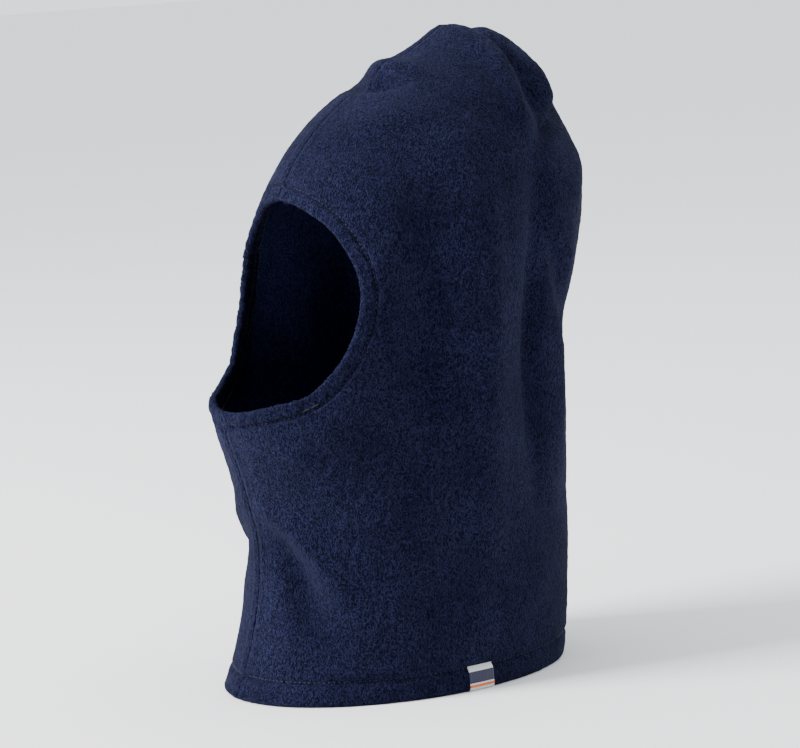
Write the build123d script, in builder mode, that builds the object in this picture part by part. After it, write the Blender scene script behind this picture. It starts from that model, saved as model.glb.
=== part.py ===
"""A fleece balaclava: a hood and neck tube in two mirrored side panels.

Frame: +Z up, -Y out of the face opening, +X to the wearer's left. The origin
is in the plane of the neck hem, on the mid-plane. All sizes are millimetres.
Each piece is made for the left half of the hood and mirrored to the right.
"""
from build123d import *
from functools import cache
import os

# Overall sizes of the hood as it is worn
HOOD_HEIGHT = 382.0
HOOD_WIDTH = 172.0
HOOD_DEPTH = 249.0

# Face opening, and where its lower edge is above the neck hem
OPENING_WIDTH = 132.0
OPENING_HEIGHT = 121.0
OPENING_BOTTOM = 170.0

# Cloth, turned hems and seams
FLEECE = 2.4
NECK_HEM = 15.0
FACE_HEM = 8.0
THREAD = 0.5
STITCH_INSET = 1.5
SEAM_STRIP_WIDTH = 5.0
SEAM_STRIP_THICKNESS = 0.8
SEAM_STRIP_GAP = 1.0

# Elastic in the face hem
ELASTIC_WIDTH = 4.0
ELASTIC_THICKNESS = 0.8
ELASTIC_FROM_EDGE = 1.4

# Woven label folded over the neck hem on the left side
HEM_LABEL_WIDTH = 17.0
HEM_LABEL_HEIGHT = 15.6
HEM_LABEL_THICKNESS = 0.6
HEM_LABEL_BACK = 9.0
LABEL_STITCH_DROP = 2.4

# Care label that hangs inside, from the back seam
CARE_LABEL_WIDTH = 28.0
CARE_LABEL_DROP = 44.0
CARE_LABEL_THICKNESS = 0.3
CARE_LABEL_TOP = 149.0
CARE_LABEL_GAP = 0.3
CARE_STITCH_WIDTH = 22.0

# Shape of the hood, from the hem up: the height as a share of the hood's
# height, the front, the back and the widest place as shares of its depth, and
# the half width as a share of the hood's half width
LEVELS = (
    (0.000, -0.438, 0.434, 0.000, 0.977),
    (0.075, -0.394, 0.454, 0.008, 0.965),
    (0.157, -0.361, 0.466, 0.016, 0.953),
    (0.250, -0.353, 0.474, 0.032, 0.945),
    (0.340, -0.382, 0.478, 0.040, 0.953),
    (0.440, -0.422, 0.482, 0.048, 0.970),
    (0.535, -0.392, 0.490, 0.064, 0.988),
    (0.628, -0.333, 0.536, 0.088, 1.000),
    (0.715, -0.272, 0.562, 0.127, 0.968),
    (0.785, -0.213, 0.554, 0.169, 0.895),
    (0.851, -0.133, 0.520, 0.201, 0.779),
    (0.903, -0.032, 0.490, 0.233, 0.635),
    (0.942, 0.080, 0.454, 0.265, 0.490),
    (0.974, 0.170, 0.410, 0.290, 0.320),
)
PEAK_BACK = 0.300

# Left edge of the face opening: shares of its half width and of its height
OPENING_OUTLINE = (
    (0.000, 0.000),
    (0.430, 0.035),
    (0.830, 0.115),
    (1.000, 0.340),
    (0.985, 0.620),
    (0.720, 0.850),
    (0.330, 0.970),
    (0.000, 1.000),
)

FAR = 2.0 * HOOD_HEIGHT
NECK_PLIES = 2.0 * FLEECE
TUNNEL_DEPTH = FLEECE + ELASTIC_THICKNESS
FACE_PLIES = TUNNEL_DEPTH + FLEECE


@cache
def form(inset):
    """The left half of the space inside the hood's surface, or deeper by an inset."""
    sections = []
    rise = (HOOD_HEIGHT - inset) / HOOD_HEIGHT
    for height, front, back, widest, half_width in LEVELS:
        middle = widest * HOOD_DEPTH
        reach_side = half_width * HOOD_WIDTH / 2 - inset
        reach_front = middle - front * HOOD_DEPTH - inset
        reach_back = back * HOOD_DEPTH - middle - inset
        with BuildSketch(Plane.XY.offset(height * HOOD_HEIGHT * rise)) as section:
            with BuildLine():
                EllipticalCenterArc((0, middle), reach_side, reach_front, start_angle=-90, arc_size=90)
                EllipticalCenterArc((0, middle), reach_side, reach_back, start_angle=0, arc_size=90)
                Line((0, middle + reach_back), (0, middle - reach_front))
            make_face()
        sections.append(section.sketch.face())
    peak = Vertex(0, PEAK_BACK * HOOD_DEPTH, HOOD_HEIGHT - inset)
    with BuildPart() as half_hood:
        loft(sections=sections + [peak])
    return half_hood.part


@cache
def skin(outside, inside):
    """The layer of the left half between two depths."""
    return form(outside) - form(inside)


@cache
def opening(margin):
    """A bar out through the front, as wide as the face opening plus a margin."""
    half = OPENING_WIDTH / 2 + margin
    foot = OPENING_BOTTOM - margin
    height = OPENING_HEIGHT + 2 * margin
    left = [(half * x, foot + height * z) for x, z in OPENING_OUTLINE]
    right = [(-x, z) for x, z in left[-2:0:-1]]
    with BuildPart() as bar:
        with BuildSketch(Plane.XZ):
            with BuildLine():
                Spline(*left, *right, periodic=True)
            make_face()
        extrude(amount=FAR)
    return bar.part


def ring(inner, outer):
    """The space between two margins round the face opening."""
    return opening(outer) - opening(inner)


def slab(low, high):
    """Everything between two heights."""
    return Pos(0, 0, (low + high) / 2) * Box(FAR, FAR, high - low)


def label_block(width, low, high):
    """The space as wide as the hem label or its stitches, between two heights."""
    return Pos(FAR / 4, HEM_LABEL_BACK, (low + high) / 2) * Box(FAR / 2, width, high - low)


def seam_block(low, high, side):
    """A narrow upright slab on the mid-plane; side is -1 for the front, 1 for the back."""
    return Pos(0, side * FAR / 4, (low + high) / 2) * Box(SEAM_STRIP_WIDTH, FAR / 2, high - low)


def side_panel():
    """One ply of cloth from the neck hem to the crown, cut out round the face."""
    with BuildPart() as panel:
        add(skin(0, FLEECE))
        add(opening(0), mode=Mode.SUBTRACT)
    return panel.part


def face_hem():
    """The cloth turned in round the face, with the tunnel for the elastic."""
    with BuildPart() as hem:
        add(skin(FLEECE, FACE_PLIES) & ring(0, FACE_HEM))
        add(face_elastic(), mode=Mode.SUBTRACT)
    return hem.part


def face_elastic():
    """Half of the elastic loop, where it lies in its tunnel."""
    return skin(FLEECE, TUNNEL_DEPTH) & ring(ELASTIC_FROM_EDGE, ELASTIC_FROM_EDGE + ELASTIC_WIDTH)


def neck_hem():
    """The cloth turned in along the neck edge."""
    return skin(FLEECE, NECK_PLIES) & slab(0, NECK_HEM)


def hem_threads(space, plies):
    """A line of thread outside the cloth and one inside, in a given space."""
    with BuildPart() as threads:
        add(skin(-THREAD, 0) & space)
        add(skin(plies, plies + THREAD) & space)
    return threads.part


def write(name, *halves):
    """Write one sub-part, whole or as a left and a right half, to its own file."""
    piece = halves[0] if len(halves) == 1 else Compound(children=list(halves))
    piece.label = name
    export_step(piece, f"parts/{name}.step")


def write_sides(name, left):
    """Write a left piece and its mirror image as two sub-parts."""
    write(f"left_{name}", left)
    write(f"right_{name}", mirror(left, about=Plane.YZ))


def whole(left):
    """A left piece joined to its mirror image across the mid-plane."""
    return left + mirror(left, about=Plane.YZ)


def hem_label():
    """A woven strip up the outside, under the hem's edge and up the inside."""
    around = skin(-HEM_LABEL_THICKNESS, NECK_PLIES + HEM_LABEL_THICKNESS)
    strip = around & label_block(HEM_LABEL_WIDTH, 0, HEM_LABEL_HEIGHT)
    return strip - (skin(0, NECK_PLIES) & slab(HEM_LABEL_THICKNESS, HOOD_HEIGHT))


def hem_label_threads():
    """The line of thread that holds the hem label, outside and inside."""
    top = HEM_LABEL_HEIGHT - LABEL_STITCH_DROP
    space = label_block(HEM_LABEL_WIDTH - 2 * THREAD, top - THREAD, top)
    outer = -HEM_LABEL_THICKNESS
    inner = NECK_PLIES + HEM_LABEL_THICKNESS
    with BuildPart() as threads:
        add(skin(outer - THREAD, outer) & space)
        add(skin(inner, inner + THREAD) & space)
    return threads.part


def care_label_back():
    """Where the back of the care label hangs, just clear of the seam behind it."""
    foot = CARE_LABEL_TOP - CARE_LABEL_DROP
    edge = Pos(CARE_LABEL_WIDTH / 2 + FAR / 2, 0, foot) * Box(FAR, FAR, THREAD)
    wall = form(FLEECE + SEAM_STRIP_THICKNESS) & edge
    return wall.bounding_box().max.Y - CARE_LABEL_GAP


def care_label_thread():
    """The bar of thread between the care label's top edge and the back seam."""
    front = care_label_back() - CARE_LABEL_THICKNESS
    centre = (CARE_STITCH_WIDTH / 4, front + FAR / 2, CARE_LABEL_TOP + THREAD / 2)
    bar = Pos(*centre) * Box(CARE_STITCH_WIDTH / 2, FAR, THREAD)
    return bar & form(FLEECE + SEAM_STRIP_THICKNESS)


os.makedirs("parts", exist_ok=True)

# The cloth of the two sides, and what is turned in at the face and the neck
LABEL_FOLD = label_block(HEM_LABEL_WIDTH, 0, HEM_LABEL_THICKNESS)
write("left_side_panel", side_panel() - LABEL_FOLD)
write("right_side_panel", mirror(side_panel(), about=Plane.YZ))
write("left_neck_hem", neck_hem() - LABEL_FOLD)
write("right_neck_hem", mirror(neck_hem(), about=Plane.YZ))
write_sides("face_hem", face_hem())
write("face_elastic", whole(face_elastic()))

# Hem threads
FACE_LINE = ring(FACE_HEM - STITCH_INSET - THREAD, FACE_HEM - STITCH_INSET)
NECK_LINE = slab(NECK_HEM - STITCH_INSET - THREAD, NECK_HEM - STITCH_INSET)
LABEL_SPACE = label_block(HEM_LABEL_WIDTH, 0, HEM_LABEL_HEIGHT)
NECK_THREADS = hem_threads(NECK_LINE, NECK_PLIES)
write_sides("face_hem_stitching", hem_threads(FACE_LINE, FACE_PLIES))
write("left_neck_hem_stitching", NECK_THREADS - LABEL_SPACE)
write("right_neck_hem_stitching", mirror(NECK_THREADS, about=Plane.YZ))

# Overlock thread over the raw edges of the centre seam, on the inside
SEAM_LAYER = skin(FLEECE, FLEECE + SEAM_STRIP_THICKNESS)
SEAM_FOOT = NECK_HEM + SEAM_STRIP_GAP
CHIN_END = OPENING_BOTTOM - FACE_HEM - SEAM_STRIP_GAP
BROW_END = OPENING_BOTTOM + OPENING_HEIGHT + FACE_HEM + SEAM_STRIP_GAP
BACK_SPACE = seam_block(SEAM_FOOT, FAR, 1) + seam_block(BROW_END, FAR, -1)
BACK_SEAM = SEAM_LAYER & BACK_SPACE
FRONT_SEAM = SEAM_LAYER & seam_block(SEAM_FOOT, CHIN_END, -1)
write("back_and_crown_seam_thread", BACK_SEAM, mirror(BACK_SEAM, about=Plane.YZ))
write("front_neck_seam_thread", FRONT_SEAM, mirror(FRONT_SEAM, about=Plane.YZ))

# Labels and their threads
write("hem_label", hem_label())
write("hem_label_stitching", hem_label_threads())
with BuildPart(Plane.XZ.offset(CARE_LABEL_THICKNESS - care_label_back())) as care_label:
    with Locations((0, CARE_LABEL_TOP - CARE_LABEL_GAP - CARE_LABEL_DROP / 2)):
        Box(CARE_LABEL_WIDTH, CARE_LABEL_DROP, CARE_LABEL_THICKNESS,
            align=(Align.CENTER, Align.CENTER, Align.MAX))
write("care_label", care_label.part)
write("care_label_stitching", whole(care_label_thread()))
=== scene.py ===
# %% [markdown]
# # A fleece balaclava, sewn from two panels
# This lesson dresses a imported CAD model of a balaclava: a hood and neck tube
# that is cut as a left and a right panel, joined by a seam along the middle.
# The CAD solids hold the sizes. Blender adds what makes it cloth: the folds,
# the turned hems, the stitches and the pebbled nap of the fleece.

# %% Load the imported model
import math
import bmesh
import bpy
import numpy as np
from mathutils import Matrix, Vector, noise


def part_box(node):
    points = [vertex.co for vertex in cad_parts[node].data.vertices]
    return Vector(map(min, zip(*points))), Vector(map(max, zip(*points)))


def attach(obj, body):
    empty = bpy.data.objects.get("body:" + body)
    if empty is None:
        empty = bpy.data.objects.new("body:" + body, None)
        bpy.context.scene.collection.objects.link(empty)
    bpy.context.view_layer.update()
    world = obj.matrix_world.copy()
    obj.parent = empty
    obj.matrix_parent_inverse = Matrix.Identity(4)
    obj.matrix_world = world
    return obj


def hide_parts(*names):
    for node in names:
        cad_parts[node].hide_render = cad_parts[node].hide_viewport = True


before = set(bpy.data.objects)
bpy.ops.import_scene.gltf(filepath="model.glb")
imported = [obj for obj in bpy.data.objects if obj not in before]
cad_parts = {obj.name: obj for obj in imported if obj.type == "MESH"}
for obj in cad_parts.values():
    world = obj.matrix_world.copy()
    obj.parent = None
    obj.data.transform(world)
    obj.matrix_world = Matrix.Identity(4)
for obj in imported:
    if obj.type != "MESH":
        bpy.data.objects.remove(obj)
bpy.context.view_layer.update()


def corners(node):
    """The low and the high corner of one CAD node's box."""
    return (np.array(corner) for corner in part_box(node))


def unit(vectors):
    return vectors / np.maximum(np.linalg.norm(vectors, axis=-1, keepdims=True), 1e-9)


def run_of(line):
    """How far along a line each of its points is."""
    return np.concatenate(([0.0], np.cumsum(np.linalg.norm(np.diff(line, axis=0), axis=1))))


def read_at(places, run, values):
    """Three columns of values, given along a run, read at other places on it."""
    return np.stack([np.interp(places, run, values[:, k]) for k in range(3)], axis=1)


# %% [markdown]
# ## The hood's shape, as a function
# The CAD hood is lofted through level sections. Each is two half ellipses that
# share their widest line: a front half and a back half. With the same levels
# as a table of shares, the surface can be asked for at any height, which is
# what a sewing grid needs. A smooth cubic runs between the levels, and a round
# cap closes the last one.

# %% Levels of the hood
PANEL_LOW, PANEL_HIGH = corners("left_side_panel")
HEIGHT = float(PANEL_HIGH[2])
HALF_WIDTH = float(PANEL_HIGH[0])
DEPTH = float(PANEL_HIGH[1] - PANEL_LOW[1])
# share of the height; front, back and widest place as shares of the depth;
# half width as a share of the hood's half width
LEVELS = np.array((
    (0.000, -0.438, 0.434, 0.000, 0.977),
    (0.075, -0.394, 0.454, 0.008, 0.965),
    (0.157, -0.361, 0.466, 0.016, 0.953),
    (0.250, -0.353, 0.474, 0.032, 0.945),
    (0.340, -0.382, 0.478, 0.040, 0.953),
    (0.440, -0.422, 0.482, 0.048, 0.970),
    (0.535, -0.392, 0.490, 0.064, 0.988),
    (0.628, -0.333, 0.536, 0.088, 1.000),
    (0.715, -0.272, 0.562, 0.127, 0.968),
    (0.785, -0.213, 0.554, 0.169, 0.895),
    (0.851, -0.133, 0.520, 0.201, 0.779),
    (0.903, -0.032, 0.490, 0.233, 0.635),
    (0.942, 0.080, 0.454, 0.265, 0.490),
    (0.974, 0.170, 0.410, 0.290, 0.320),
))
PEAK_BACK = 0.300 * DEPTH
LEVEL_SIZES = LEVELS * (HEIGHT, DEPTH, DEPTH, DEPTH, HALF_WIDTH)
CAP_HEIGHT = HEIGHT - LEVEL_SIZES[-1, 0]


def section(z):
    """Front, back, widest place and half width of the hood at heights z."""
    heights = LEVEL_SIZES[:, 0]
    values = LEVEL_SIZES[:, 1:]
    slopes = np.gradient(values, heights, axis=0)
    z = np.asarray(z, float)
    low = np.clip(np.searchsorted(heights, z) - 1, 0, len(heights) - 2)
    span = heights[low + 1] - heights[low]
    t = np.clip((z - heights[low]) / span, 0, 1)[:, None]
    span = span[:, None]
    smooth = (2 * t**3 - 3 * t**2 + 1) * values[low] + (t**3 - 2 * t**2 + t) * span * slopes[low]
    smooth += (3 * t**2 - 2 * t**3) * values[low + 1] + (t**3 - t**2) * span * slopes[low + 1]
    # the round cap over the last level
    cap = np.sqrt(np.clip((HEIGHT - z) / CAP_HEIGHT, 0, 1))[:, None]
    top = np.array((PEAK_BACK, PEAK_BACK, PEAK_BACK, 0.0))
    return np.where(z[:, None] > heights[-1], top + (values[-1] - top) * cap, smooth)


def fullness(points):
    """1 on the hood's surface, less inside it and more outside."""
    front, back, widest, half = section(points[:, 2]).T
    across = points[:, 1] - widest
    reach = np.where(across < 0, widest - front, back - widest)
    ratio = (points[:, 0] / np.maximum(half, 1e-5))**2 + (across / np.maximum(reach, 1e-5))**2
    return np.where(points[:, 2] > HEIGHT, 9.0, np.sqrt(ratio))


HEAD_CENTRE_HEIGHT = 0.235
# the search for the surface: how many times farther out it looks, and its halvings
SEARCH_REACH, SEARCH_STEPS = 8.0, 26


def onto(points):
    """Push points out or in to the hood's surface, along rays from its core."""
    core = np.zeros_like(points)
    core[:, 2] = np.minimum(points[:, 2], HEAD_CENTRE_HEIGHT)
    core[:, 1] = section(core[:, 2])[:, 2]
    ray = points - core
    low, high = np.zeros(len(points)), np.full(len(points), SEARCH_REACH)
    for _ in range(SEARCH_STEPS):
        middle = (low + high) / 2
        inside = fullness(core + ray * middle[:, None]) < 1
        low = np.where(inside, middle, low)
        high = np.where(inside, high, middle)
    return core + ray * ((low + high) / 2)[:, None]


print("neck opening half width:", round(float(section([0.0])[0, 3]), 4))

# %% [markdown]
# ## The cut of a panel
# A tailor's panel has four edges: the neck hem, the back and crown seam, the
# forehead end of that seam, and the front edge, which is the short seam under
# the chin and then the curve round the face. Those edges are drawn first, as
# lines of evenly spaced points on the hood.

# %% Edges of one panel
OPENING_BOTTOM, OPENING_HEIGHT = 0.170, 0.121
OPENING_HALF_LEFT, OPENING_HALF_RIGHT = 0.0665, 0.0610
# shares of the opening's half width and height, from the chin to the forehead
OPENING_OUTLINE = np.array((
    (0.000, 0.000), (0.430, 0.035), (0.830, 0.115), (1.000, 0.340),
    (0.985, 0.620), (0.720, 0.850), (0.330, 0.970), (0.000, 1.000),
))
OPENING_CENTRE = np.array((0, -0.085, OPENING_BOTTOM + OPENING_HEIGHT / 2))
# the share of the middle seam that is the panel's back edge; the rest is its top
SEAM_SPLIT = 0.55
# points on the edges before they are spaced out: any edge, the seam, the chin seam
EDGE_POINTS, SEAM_POINTS, CHIN_POINTS = 400, 1200, 200


def even(line, count):
    """The same line with count + 1 evenly spaced points."""
    run = run_of(line)
    return read_at(np.linspace(0, run[-1], count + 1), run, line)


def spline(points, count):
    """A smooth open line through a few points."""
    points = np.asarray(points, float)
    padded = np.vstack((2 * points[0] - points[1], points, 2 * points[-1] - points[-2]))
    line = []
    for k in range(1, len(padded) - 2):
        before, a, b, after = padded[k - 1:k + 3]
        for t in np.linspace(0, 1, count, endpoint=False):
            bend = 2 * before - 5 * a + 4 * b - after
            line.append(0.5 * (2 * a + (b - before) * t + bend * t**2
                               + (3 * a - before - 3 * b + after) * t**3))
    line.append(padded[-2])
    return np.array(line)


def mid_line(heights, front):
    """Points on the mid-plane, on the front or the back of the hood."""
    sizes = section(heights)
    return np.stack((np.zeros(len(heights)), sizes[:, 0 if front else 1], heights), axis=1)


def face_edge(half_width):
    """The edge round the face, from the chin up to the forehead."""
    outline = spline(OPENING_OUTLINE, 24)
    x = half_width * outline[:, 0]
    z = OPENING_BOTTOM + OPENING_HEIGHT * outline[:, 1]
    front, _, widest, half = section(z).T
    y = widest - (widest - front) * np.sqrt(np.clip(1 - (x / half)**2, 0, 1))
    return np.stack((x, y, z), axis=1)


def panel_edges(half_width, across, up):
    """Four edges as even points, hem, back, crown and front, and the chin's row."""
    turn = np.linspace(0, math.pi, EDGE_POINTS)
    front, back, widest, half = section([0.0])[0]
    reach = np.where(turn < math.pi / 2, widest - front, back - widest)
    hem = np.stack((half * np.sin(turn), widest - reach * np.cos(turn), 0 * turn), axis=1)
    swing = np.linspace(0, math.pi / 2, EDGE_POINTS)
    climb = HEIGHT * np.sin(swing)
    forehead = OPENING_BOTTOM + OPENING_HEIGHT
    over = climb[climb > forehead][::-1]
    seam = np.vstack((mid_line(climb, False), mid_line(np.append(over, forehead), True)))
    seam = even(seam, SEAM_POINTS)
    split = int(SEAM_SPLIT * SEAM_POINTS)
    chin_seam = mid_line(np.linspace(0, OPENING_BOTTOM, CHIN_POINTS), True)
    rim = face_edge(half_width)
    lengths = [run_of(line)[-1] for line in (chin_seam, rim)]
    chin_rows = round(up * lengths[0] / sum(lengths))
    front_edge = np.vstack((even(chin_seam, chin_rows), even(rim, up - chin_rows)[1:]))
    back_edge, crown_edge = even(seam[:split + 1], up), even(seam[split:], across)[::-1]
    return even(hem, across), back_edge, crown_edge, front_edge, chin_rows


# %% [markdown]
# ## A grid that fills the cut
# Between four edges a Coons patch gives a first grid. Plain averaging would let
# its lines cross at the hollow curve round the face, so each round weighs the
# neighbours by the squared size of the cell the other way, which keeps the
# lines apart. The points are pushed back onto the hood as they settle, then
# each line across is spaced evenly.

# %% Fill a panel
COARSE_ACROSS, COARSE_UP = 28, 36
ROUNDS = 500
ROUNDS_PER_PUSH = 3
# how far from the middle the inner points stay, in the first grid and later
FIRST_GAP, MIDDLE_GAP = 0.012, 0.0005


def settled(grid):
    """Even out a grid on the hood without letting its lines cross."""
    for step in range(ROUNDS):
        across = (grid[2:, 1:-1] - grid[:-2, 1:-1]) / 2
        up = (grid[1:-1, 2:] - grid[1:-1, :-2]) / 2
        twist = (grid[2:, 2:] - grid[2:, :-2] - grid[:-2, 2:] + grid[:-2, :-2]) / 4
        across_2 = (across**2).sum(-1, keepdims=True)
        up_2 = (up**2).sum(-1, keepdims=True)
        lean = (across * up).sum(-1, keepdims=True)
        middle = up_2 * (grid[2:, 1:-1] + grid[:-2, 1:-1])
        middle = middle + across_2 * (grid[1:-1, 2:] + grid[1:-1, :-2])
        middle = (middle - 2 * lean * twist) / (2 * (across_2 + up_2))
        if step % ROUNDS_PER_PUSH == 0 or step == ROUNDS - 1:
            middle = onto(middle.reshape(-1, 3)).reshape(middle.shape)
        middle[..., 0] = np.maximum(middle[..., 0], MIDDLE_GAP)
        grid[1:-1, 1:-1] = middle
    return grid


def fill(half_width):
    """A coarse grid of one panel, and the row of its chin corner."""
    hem, back, crown, front, chin_row = panel_edges(half_width, COARSE_ACROSS, COARSE_UP)
    u = np.linspace(0, 1, COARSE_ACROSS + 1)[:, None, None]
    v = np.linspace(0, 1, COARSE_UP + 1)[None, :, None]
    ruled = (1 - v) * hem[:, None] + v * crown[:, None] + (1 - u) * front[None] + u * back[None]
    low_ends = (1 - u) * (1 - v) * hem[0] + u * (1 - v) * hem[-1]
    high_ends = (1 - u) * v * crown[0] + u * v * crown[-1]
    grid = ruled - (low_ends + high_ends)
    grid[1:-1, 1:-1, 0] = np.maximum(grid[1:-1, 1:-1, 0], FIRST_GAP)
    grid = settled(grid)
    for row in range(1, COARSE_UP):
        grid[:, row] = even(grid[:, row], COARSE_ACROSS)
    inner = grid[1:-1, 1:-1]
    grid[1:-1, 1:-1] = onto(inner.reshape(-1, 3)).reshape(inner.shape)
    return grid, chin_row


def refine(grid, times):
    """Put more rows and columns between those of a grid, along cubic curves."""
    for axis in (0, 1):
        grid = np.moveaxis(grid, axis, 0)
        ends = np.concatenate((2 * grid[:1] - grid[1:2], grid, 2 * grid[-1:] - grid[-2:-1]))
        t = (np.arange(times) / times).reshape(1, -1, 1, 1)
        a, b, c, d = (part[:, None] for part in (ends[:-3], ends[1:-2], ends[2:-1], ends[3:]))
        bend = 2 * a - 5 * b + 4 * c - d
        curve = 0.5 * (2 * b + (c - a) * t + bend * t**2 + (3 * b - a - 3 * c + d) * t**3)
        curve = curve.reshape(-1, *grid.shape[1:])
        grid = np.moveaxis(np.concatenate((curve, grid[-1:])), 0, axis)
    return grid


coarse_left, CHIN_ROW = fill(OPENING_HALF_LEFT)
coarse_right, _ = fill(OPENING_HALF_RIGHT)
steps = np.linalg.norm(np.diff(coarse_left, axis=0), axis=2)
print("coarse cell, mm: %.1f to %.1f" % (steps.min() * 1000, steps.max() * 1000))

# %% [markdown]
# ## Folds
# Worn fleece is soft and thick, so it bends in wide, round folds. Each fold is
# a short smooth path on the hood with a width and a height: above zero it is a
# ridge, below zero a hollow. A fold fades out at both ends and to both sides.
# The hollow over the ear, the slanting fold across the throat and the pinched
# peak are what make the hood look pulled on and not inflated.

# %% Fold paths
MM = 0.001
FOLD_POINTS = 40
# how far into its fade a fold starts, and the share of the fade that it runs through
FADE_START, FADE_SPAN = 0.08, 0.84
# folds that cross the crown seam, so both sides share them: path in
# millimetres from the middle to the side, then the width and the height
MIDDLE_FOLDS = (
    (((-14, -2, 348), (0, 3, 351), (14, 7, 352), (28, 14, 352)), 6.0, -6.0),
    (((-14, 16, 359), (0, 20, 361), (16, 25, 360), (32, 32, 353)), 8.0, 4.0),
    (((-10, 76, 382), (10, 80, 380), (26, 83, 373), (40, 84, 358)), 5.5, -4.5),
    (((-12, 58, 378), (4, 62, 378), (20, 66, 374), (38, 68, 360)), 8.0, 3.0),
)
LEFT_FOLDS = MIDDLE_FOLDS + (
    (((12, -88, 112), (26, -83, 102), (40, -74, 90), (51, -67, 74), (60, -59, 54)), 9.0, 6.0),
    (((20, -85, 98), (25, -82, 86), (31, -80, 72), (38, -77, 56), (48, -72, 40)), 11.0, -8.5),
    (((30, 76, 372), (46, 74, 356), (58, 72, 340), (67, 76, 318)), 8.0, 5.0),
    (((28, 88, 372), (42, 88, 358), (52, 90, 340), (58, 93, 322)), 7.5, -6.0),
    (((28, 104, 362), (40, 106, 346), (48, 108, 330)), 8.0, 5.0),
    (((28, 118, 332), (42, 112, 328), (54, 101, 324), (64, 88, 318)), 5.5, -6.5),
    (((34, 124, 306), (50, 114, 292), (60, 100, 276)), 14.0, 4.0),
    (((76, 84, 262), (68, 92, 240), (58, 98, 216), (46, 104, 196)), 9.0, -6.0),
    (((78, -2, 284), (84, -9, 240), (84, -13, 205), (82, -14, 158)), 19.0, -11.0),
    (((70, 30, 318), (82, 30, 276), (84, 30, 200), (80, 22, 84)), 14.0, 6.0),
    (((66, 78, 308), (76, 72, 260), (74, 68, 200), (70, 66, 110)), 12.0, -11.0),
    (((52, 102, 276), (58, 98, 240), (56, 94, 180), (54, 92, 120)), 10.0, 3.5),
    (((30, -90, 168), (40, -82, 150), (52, -70, 136)), 6.0, 1.8),
    (((48, -76, 172), (58, -62, 152), (68, -46, 138)), 6.0, 1.6),
    (((52, -66, 122), (64, -50, 110), (74, -30, 96)), 10.0, 2.4),
    (((76, -34, 60), (80, -14, 50), (82, 12, 44)), 12.0, -2.6),
    (((60, 72, 60), (72, 50, 44), (80, 24, 34)), 10.0, 2.2),
    (((16, -40, 316), (30, -30, 316), (44, -16, 312)), 9.0, -2.4),
    (((30, -20, 330), (44, 0, 334), (56, 20, 334)), 10.0, 2.2),
    (((40, -50, 290), (54, -36, 288), (66, -20, 280)), 7.0, -1.6),
)
RIGHT_FOLDS = MIDDLE_FOLDS + (
    (((14, -88, 114), (26, -83, 106), (40, -74, 96), (54, -62, 84)), 9.0, 4.0),
    (((22, -85, 98), (32, -80, 88), (44, -73, 76), (56, -63, 62)), 9.0, -5.0),
    (((26, 82, 374), (42, 83, 358), (54, 85, 336), (62, 90, 312)), 8.0, 3.5),
    (((30, 96, 362), (44, 97, 346), (52, 102, 324)), 7.0, -5.0),
    (((30, 118, 330), (44, 111, 322), (56, 99, 314)), 6.0, -4.5),
    (((74, 84, 256), (68, 94, 236), (58, 101, 214)), 9.0, -4.5),
    (((80, 0, 270), (84, -6, 236), (84, -10, 200), (82, -12, 160)), 24.0, -8.0),
    (((76, 34, 300), (84, 36, 240), (82, 34, 170), (80, 26, 92)), 15.0, 3.4),
    (((66, 84, 290), (72, 78, 230), (68, 74, 160)), 14.0, -6.0),
    (((52, -64, 276), (62, -56, 252), (64, -60, 226)), 13.0, 9.0),
    (((36, -92, 186), (48, -80, 190), (58, -66, 196)), 6.0, -8.0),
    (((20, -102, 172), (30, -97, 172), (40, -91, 174)), 7.0, 2.0),
    (((44, -76, 170), (56, -62, 154), (66, -46, 140)), 7.0, 1.5),
    (((62, -52, 70), (74, -34, 58), (82, -8, 50)), 11.0, 2.4),
    (((50, 84, 70), (66, 64, 56), (78, 36, 46)), 11.0, -2.4),
)


def nearest(points, line):
    """Each point's distance to a line, and how far along the line that is."""
    away = np.full(len(points), 9.0)
    along = np.zeros(len(points))
    for step, place in enumerate(line):
        distance = np.linalg.norm(points - place, axis=1)
        closer = distance < away
        away[closer] = distance[closer]
        along[closer] = step / (len(line) - 1)
    return away, along


def folded(points, folds):
    """The height of all the folds at each point."""
    rise = np.zeros(len(points))
    for path, width, height in folds:
        line = even(spline(np.array(path) * MM, 12), FOLD_POINTS)
        away, along = nearest(points, line)
        fade = np.sin(np.pi * np.clip(FADE_START + FADE_SPAN * along, 0, 1)) ** 0.8
        rise += height * MM * fade * np.exp(-(away / (width * MM))**2)
    return rise


def cloud(points, size, seed):
    """Smooth noise from -1 to 1, with lumps of the given size in millimetres."""
    scale = 1000.0 / size
    shift = Vector((seed * 7.3, seed * 3.1, seed * 5.7))
    return np.array([noise.noise(Vector(place) * scale + shift) for place in points])


# %% [markdown]
# ## Turned edges
# At the neck and round the face the cloth is folded to the inside and sewn
# down, so the edge is round and twice as thick. Along the middle seam the two
# panels bend inwards side by side. Both are a row-by-row profile: how far each
# extra row goes out past the edge, and how deep it lies under the surface.

# %% Edge profiles, in metres
# each coarse cell is cut into thirds twice
THIRDS = 3
FINE = THIRDS * THIRDS
CLOTH_THICKNESS = 0.0024
HEM_RADIUS = 0.0025
SEAM_RADIUS = 0.0012
TURN = np.radians((30, 60, 90, 120, 150, 180))
FLAT_ROWS = 8
FLAT_STEP = 0.0014
FIN_STEP = 0.00045
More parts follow.
